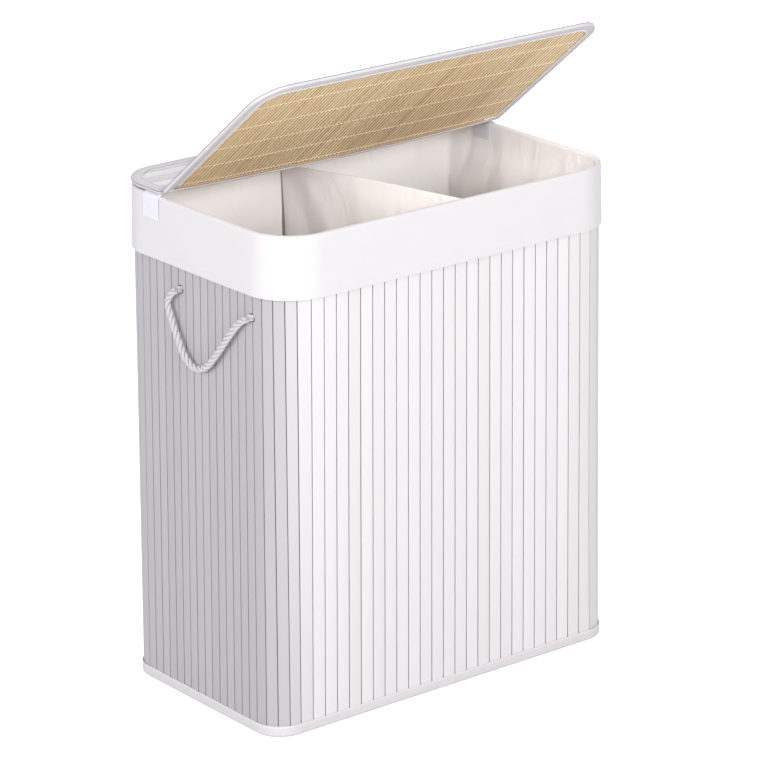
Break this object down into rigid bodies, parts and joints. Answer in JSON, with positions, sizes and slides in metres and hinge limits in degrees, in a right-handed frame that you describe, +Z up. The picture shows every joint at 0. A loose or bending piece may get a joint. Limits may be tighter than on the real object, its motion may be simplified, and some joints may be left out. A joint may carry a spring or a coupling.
{
  "type": "laundry hamper",
  "caption": "Free-standing slatted laundry hamper with a folding lid, a removable cloth liner split into bins side by side, and rope handles.",
  "frame": {"origin": "on the floor under the middle of the body", "axes": "+Z up; -Y to the front, the long wall that the lid opens towards; +X along the lid's hinge, to the right as seen from the front"},
  "size_m": [0.5484, 0.34, 0.8054],
  "materials": {
    "painted_slats": "thin flat bamboo slats, white satin paint",
    "bamboo_mat": "bare split bamboo matting with light stitch lines",
    "white_cloth": "plain white woven cloth",
    "cream_cloth": "plain off-white woven cloth, slightly creased",
    "grey_felt": "light grey felt-like tape",
    "steel_wire": "drawn steel wire",
    "fibre_board": "pressed fibre board",
    "hook_tape": "white hook-and-loop tape",
    "cotton_rope": "twisted white cotton rope"
  },
  "bodies": {
    "hamper": {"slat_wall": "painted_slats", "rear_slat_1": "painted_slats", "rear_slat_2": "painted_slats", "rear_slat_3": "painted_slats", "rear_slat_4": "painted_slats", "rear_slat_5": "painted_slats", "rear_mat": "bamboo_mat", "wall_backing": "white_cloth", "rim_tape": "white_cloth", "base_cloth": "white_cloth", "liner_cuff": "white_cloth", "rear_edge_tape": "white_cloth", "rear_hinge_cloth": "white_cloth", "left_bag": "cream_cloth", "right_bag": "cream_cloth", "divider_hem": "cream_cloth", "foot_felt": "grey_felt", "rim_hoop": "steel_wire", "foot_hoop": "steel_wire", "rear_wire": "steel_wire", "base_board": "fibre_board", "left_loop_tape": "hook_tape", "right_loop_tape": "hook_tape", "left_hook_patch": "hook_tape", "right_hook_patch": "hook_tape", "left_rear_knot": "cotton_rope", "left_front_knot": "cotton_rope", "right_rear_knot": "cotton_rope", "right_front_knot": "cotton_rope"},
    "lid_flap": {"flap_edge_tape": "white_cloth", "flap_wire": "steel_wire", "flap_mat": "bamboo_mat", "flap_slat_1": "painted_slats", "flap_slat_2": "painted_slats", "flap_slat_3": "painted_slats", "flap_slat_4": "painted_slats", "flap_slat_5": "painted_slats", "flap_slat_6": "painted_slats", "flap_slat_7": "painted_slats", "flap_slat_8": "painted_slats", "flap_slat_9": "painted_slats", "flap_slat_10": "painted_slats", "flap_slat_11": "painted_slats", "flap_slat_12": "painted_slats", "flap_slat_13": "painted_slats", "flap_slat_14": "painted_slats", "flap_slat_15": "painted_slats", "flap_hinge_cloth": "white_cloth"},
    "left_handle": {"left_handle_rope": "cotton_rope"},
    "right_handle": {"right_handle_rope": "cotton_rope"}
  },
  "joints": [
    {"name": "lid_hinge", "type": "hinge", "parent": "hamper", "child": "lid_flap", "pos_m": [0, 0.068, 0.6387], "axis": [-1, 0, 0], "range_deg": [-39, 136]},
    {"name": "left_handle_swing", "type": "hinge", "parent": "hamper", "child": "left_handle", "pos_m": [-0.2655, -0.039, 0.5245], "axis": [0, 1, 0], "range_deg": [0, 165]},
    {"name": "right_handle_swing", "type": "hinge", "parent": "hamper", "child": "right_handle", "pos_m": [0.2655, -0.039, 0.5245], "axis": [0, -1, 0], "range_deg": [0, 165]}
  ]
}
